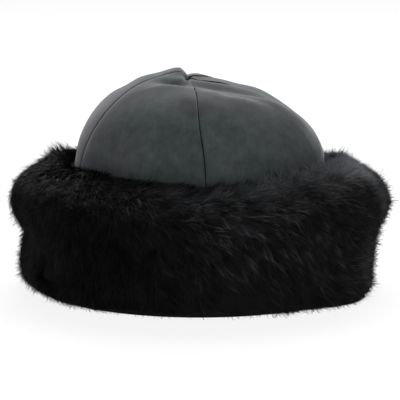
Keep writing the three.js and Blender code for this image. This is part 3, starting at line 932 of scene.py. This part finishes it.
def hair_ribbons(root, random, kind, placed):
    """Flat ribbons that taper along the hairs' joints, as points and triangles."""
    joints, count = kind["joints"], root.count
    roll = parted(ROLL, root.clumped) * random.standard_normal(count)
    tangent = unit(np.gradient(placed, axis=1))
    below = on_cuff(root.azimuth, root.share, np.full(count, -kind["root"] - 1.0))
    side = unit(np.cross(tangent, unit(placed[:, 0] - below)[:, None, :]))
    lifted = np.cross(side, tangent)
    side = side * np.cos(roll)[:, None, None] + lifted * np.sin(roll)[:, None, None]
    width = kind["width"] * about_one(random.random(count), WIDTH_VARIES)
    half = 0.5 * width[:, None, None] * TAPER[None, :joints, None]
    points = np.empty((count, 2 * joints + 1, 3))
    points[:, 0 : 2 * joints : 2] = placed[:, :-1] - side[:, :-1] * half
    points[:, 1 : 2 * joints : 2] = placed[:, :-1] + side[:, :-1] * half
    points[:, -1] = placed[:, -1]
    pattern = []
    for k in range(joints - 1):
        pattern += [(2 * k, 2 * k + 1, 2 * k + 3), (2 * k, 2 * k + 3, 2 * k + 2)]
    pattern.append((2 * joints - 2, 2 * joints - 1, 2 * joints))
    first = np.arange(count) * (2 * joints + 1)
    triangles = np.array(pattern)[None] + first[:, None, None]
    return points.reshape(-1, 3), triangles.reshape(-1, 3)


def hair_tones(root, random, kind):
    """How pale each point is, and how far along its hair it lies."""
    joints, clumped = kind["joints"], root.clumped
    even = 1 - EVENER * root.unrest
    tone = parted(HAIR_TONE, clumped) * even * (random.random(root.count) - 0.5) + HAIR_MIDDLE
    tone = tone + parted(LOCK_TONE, clumped) * (chance(root.lock, "tone") - 0.25)
    shade = wave(root.lock_u, root.lock_v, "shade")
    tone = tone + BIG_TONE * chance(root.big, "big_tone") + shade + LOCK_MIDDLE
    # Painted glints: some locks and single hairs are painted paler.
    bright = clumped * kind["pale"] * chance(root.lock, "bright") ** 3
    bright = bright + parted(PAINTED_GLINT, clumped) * kind["light"]
    tone = TONE_SPREAD * tone + heights(FUR_PAINTED_LIGHT, root.azimuth, root.share) + bright
    along_hair = np.repeat(np.linspace(0, 1, joints + 1), 2)[: 2 * joints + 1]
    return np.stack([np.repeat(tone, len(along_hair)), np.tile(along_hair, root.count)], -1)


def strands(name, random):
    """All the hairs of one kind."""
    kind = dict(zip(HAIR_COLUMNS, HAIR_KINDS[name]))
    root = hair_roots(HAIR_COUNTS[name][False], random, kind)
    points, triangles = hair_ribbons(root, random, kind, hair_paths(root, random, kind))
    return points, triangles, hair_tones(root, random, kind)


def add_strands(name, material, kinds, random):
    """One joined mesh of the hairs of some kinds."""
    points, triangles, tones = zip(*[strands(kind, random) for kind in kinds])
    starts = np.cumsum([0] + [len(part) for part in points[:-1]])
    triangles = np.concatenate([part + start for part, start in zip(triangles, starts)])
    tones = np.concatenate(tones)
    piece = add_mesh(name, np.concatenate(points), triangles)
    paint(piece, tones[:, 0], tones[:, 1], 0)
    place_in_frame(piece, "fur_cuff", "fur", material)


# Materials


def new_material(name):
    material = bpy.data.materials.new(name)
    material.use_nodes = True
    tree = material.node_tree
    return material, tree, tree.nodes["Principled BSDF"]


def set_inputs(node, values):
    for name, value in values.items():
        node.inputs[name].default_value = value


def noise_node(tree, source, scale, detail, stretch=None):
    """Noise in object space, drawn out where stretch says so."""
    noise = tree.nodes.new("ShaderNodeTexNoise")
    set_inputs(noise, {"Scale": scale, "Detail": detail})
    if stretch:
        mapping = tree.nodes.new("ShaderNodeMapping")
        mapping.inputs["Scale"].default_value = stretch
        tree.links.new(source, mapping.inputs["Vector"])
        source = mapping.outputs["Vector"]
    tree.links.new(source, noise.inputs["Vector"])
    return noise.outputs["Fac"]


def ramp_node(tree, source, stops):
    ramp = tree.nodes.new("ShaderNodeValToRGB")
    for index, (position, colour) in enumerate(stops):
        element = ramp.color_ramp.elements[index] if index < 2 else ramp.color_ramp.elements.new(position)
        element.position = position
        element.color = (*colour, 1)
    tree.links.new(source, ramp.inputs["Fac"])
    return ramp.outputs["Color"]


def multiply_node(tree, first, second):
    mix = tree.nodes.new("ShaderNodeMix")
    mix.data_type = "RGBA"
    mix.blend_type = "MULTIPLY"
    mix.inputs[0].default_value = 1
    tree.links.new(first, mix.inputs[6])
    tree.links.new(second, mix.inputs[7])
    return mix.outputs[2]


def set_surface(shader, roughness, specular):
    set_inputs(shader, {"Roughness": roughness, "Specular IOR Level": specular})


def grey_ramp(tree, source, stops):
    return ramp_node(tree, source, [(position, (grey,) * 3) for position, grey in stops])


def object_place(tree):
    return tree.nodes.new("ShaderNodeTexCoord").outputs["Object"]


def painted_tone(tree):
    """The colours that paint() wrote."""
    read = tree.nodes.new("ShaderNodeVertexColor")
    read.layer_name = "tone"
    return read.outputs["Color"]


def painted_numbers(tree):
    split = tree.nodes.new("ShaderNodeSeparateColor")
    tree.links.new(painted_tone(tree), split.inputs["Color"])
    return split.outputs


def add_bump(tree, shader, height, strength, distance):
    bump = tree.nodes.new("ShaderNodeBump")
    set_inputs(bump, {"Strength": strength, "Distance": distance})
    tree.links.new(height, bump.inputs["Height"])
    tree.links.new(bump.outputs["Normal"], shader.inputs["Normal"])


# The suede's grain, from patches to nap: scale, stretch, and darkest and palest factor.
GRAIN = [
    (140, None, 0.8, 1.15),
    (260, (1.6, 1.6, 0.35), 0.9, 1.08),
    (1500, None, 0.92, 1.08),
]


def suede_material():
    material, tree, shader = new_material("suede")
    place = object_place(tree)
    clouds = noise_node(tree, place, 22, 4)
    colour = ramp_node(tree, clouds, [(0.3, (0.024, 0.033, 0.031)), (0.7, (0.037, 0.039, 0.042))])
    for scale, stretch, dark, pale in GRAIN:
        nap = noise_node(tree, place, scale, 3, stretch)
        colour = multiply_node(tree, colour, grey_ramp(tree, nap, [(0.3, dark), (0.7, pale)]))
    # The painted light and shade written by paint().
    colour = multiply_node(tree, colour, painted_tone(tree))
    tree.links.new(colour, shader.inputs["Base Color"])
    add_bump(tree, shader, nap, 0.3, 0.0003)
    set_surface(shader, 0.92, 0.12)
    set_inputs(shader, {"Sheen Weight": 0.16, "Sheen Roughness": 0.4, "Sheen Tint": (0.72, 0.69, 0.75, 1)})
    return material


# A near-black material for the faces in the seams' creases and under the laps: painted shade.
def crease_shade_material():
    material, tree, shader = new_material("seam_crease_shade")
    fuzz = noise_node(tree, object_place(tree), 900, 2)
    colour = ramp_node(tree, fuzz, [(0.3, (0.003, 0.0033, 0.0033)), (0.7, (0.007, 0.0075, 0.0075))])
    tree.links.new(colour, shader.inputs["Base Color"])
    set_surface(shader, 1, 0)
    return material


# Painted shade deep in the fur: hairs are painted darker towards their roots.
HAIR_ROOT_SHADE = 0.4  # how dark a hair is at its root, beside its tip
HAIR_COLOURS = [(0.08, (0.0014, 0.0014, 0.0014)), (0.5, (0.0126, 0.0127, 0.013)), (1, (0.08, 0.085, 0.094))]


def hair_material():
    """Black hair: its tone, with its painted light and shade, rides in red, and how far along the hair a
    point lies in green.
    """
    material, tree, shader = new_material("hair")
    painted = painted_numbers(tree)
    # Painted shade towards the roots.
    along = grey_ramp(tree, painted["Green"], [(0, HAIR_ROOT_SHADE), (1, 1)])
    colour = multiply_node(tree, ramp_node(tree, painted["Red"], HAIR_COLOURS), along)
    tree.links.new(colour, shader.inputs["Base Color"])
    set_surface(shader, 0.6, 0.03)
    return material


def underfur_material():
    material, tree, shader = new_material("underfur")
    fuzz = noise_node(tree, object_place(tree), 900, 4)
    grain = grey_ramp(tree, fuzz, [(0.3, 0.5), (0.7, 1)])
    dark, pale = (0.003, 0.003, 0.0033), (0.022, 0.024, 0.029)
    tone = ramp_node(tree, painted_numbers(tree)["Red"], [(0, dark), (0.3, pale)])
    tree.links.new(multiply_node(tree, tone, grain), shader.inputs["Base Color"])
    add_bump(tree, shader, fuzz, 0.6, 0.0006)
    set_surface(shader, 0.95, 0.05)
    return material


FLOOR_GLOW = 0.865


def floor_material():
    material, tree, shader = new_material("pale_floor")
    grain = noise_node(tree, object_place(tree), 3, 2)
    tree.links.new(grey_ramp(tree, grain, [(0, 0.045), (1, 0.05)]), shader.inputs["Base Color"])
    set_surface(shader, 0.8, 0.1)
    set_inputs(shader, {"Emission Color": (1, 1, 1, 1), "Emission Strength": FLOOR_GLOW})
    return material


# The camera, the floor and the light

CAMERA_DISTANCE = 2.0
CAMERA_ELEVATION = math.radians(10)
CAMERA_TARGET = Vector((0.0004, 0.0, 0.0613))
FOCAL_PIXELS = 2700
FRAME_PIXELS = 400
SENSOR = 36
FLOOR_HALF = 9000


def add_camera():
    data = bpy.data.cameras.new("camera")
    data.sensor_width = SENSOR
    data.lens = SENSOR * FOCAL_PIXELS / FRAME_PIXELS
    data.clip_start, data.clip_end = 0.05, 50
    camera = add_object("camera", data)
    back = Vector((0, -math.cos(CAMERA_ELEVATION), math.sin(CAMERA_ELEVATION)))
    camera.location = CAMERA_TARGET + back * CAMERA_DISTANCE
    camera.rotation_euler = (-back).to_track_quat("-Z", "Y").to_euler()
    bpy.context.scene.camera = camera


def add_floor():
    corners = FLOOR_HALF * np.array([(-1, -1, 0), (1, -1, 0), (1, 1, 0), (-1, 1, 0)])
    floor = add_mesh("floor", corners, np.array([[0, 1, 2, 3]]))
    floor.data.materials.append(floor_material())


def add_area_light(name, place, size, power):
    data = bpy.data.lights.new(name, "AREA")
    data.shape = "RECTANGLE"
    data.size, data.size_y = size
    data.energy = power
    light = add_object(name, data)
    light.location = place
    light.rotation_euler = (Vector(LIGHT_AIM) - Vector(place)).to_track_quat("-Z", "Y").to_euler()


# A soft sky, as of a white tent: how far up from the horizon, 0, to overhead, 1, and how bright.
SKY = [(0, 0.85), (0.3, 0.55), (1, 0.8)]
SKY_STRENGTH = 2
LIGHT_AIM = (0, 0, 0.1)


def add_light():
    world = bpy.data.worlds.new("studio")
    world.use_nodes = True
    tree = world.node_tree
    background = tree.nodes["Background"]
    split = tree.nodes.new("ShaderNodeSeparateXYZ")
    tree.links.new(tree.nodes.new("ShaderNodeTexCoord").outputs["Generated"], split.inputs["Vector"])
    sky = grey_ramp(tree, split.outputs["Z"], [(up, bright / SKY_STRENGTH) for up, bright in SKY])
    tree.links.new(sky, background.inputs["Color"])
    background.inputs["Strength"].default_value = SKY_STRENGTH
    bpy.context.scene.world = world
    add_area_light("from_behind", (0.1, 1.3, 1.45), (1.3, 1), 85)
    add_area_light("from_the_front", (0, -1.9, 1.1), (2, 0.9), 26)


HAIR_SEED = 20


def add_crown():
    suede, crease = suede_material(), crease_shade_material()
    for index, seam in enumerate(SEAMS):
        following = SEAMS[(index + 1) % len(SEAMS)]
        turn = 360 if index + 1 == len(SEAMS) else 0
        right = (following[0], following[1] + turn, following[2] + turn, *following[3:])
        add_gore(seam, right, suede, crease)


def add_cuff():
    add_underfur(underfur_material())
    hair = hair_material()
    random = np.random.default_rng(HAIR_SEED)
    for index in range(NAP_PIECES):
        add_strands(f"fur_nap_{index + 1}", hair, ["nap"], random)
    add_strands("fur_guard", hair, ["guard", "wisp", "whisker", "stray"], random)


def main():
    bpy.context.scene.view_settings.view_transform = "Standard"
    add_camera()
    add_floor()
    add_light()
    add_crown()
    add_cuff()


main()
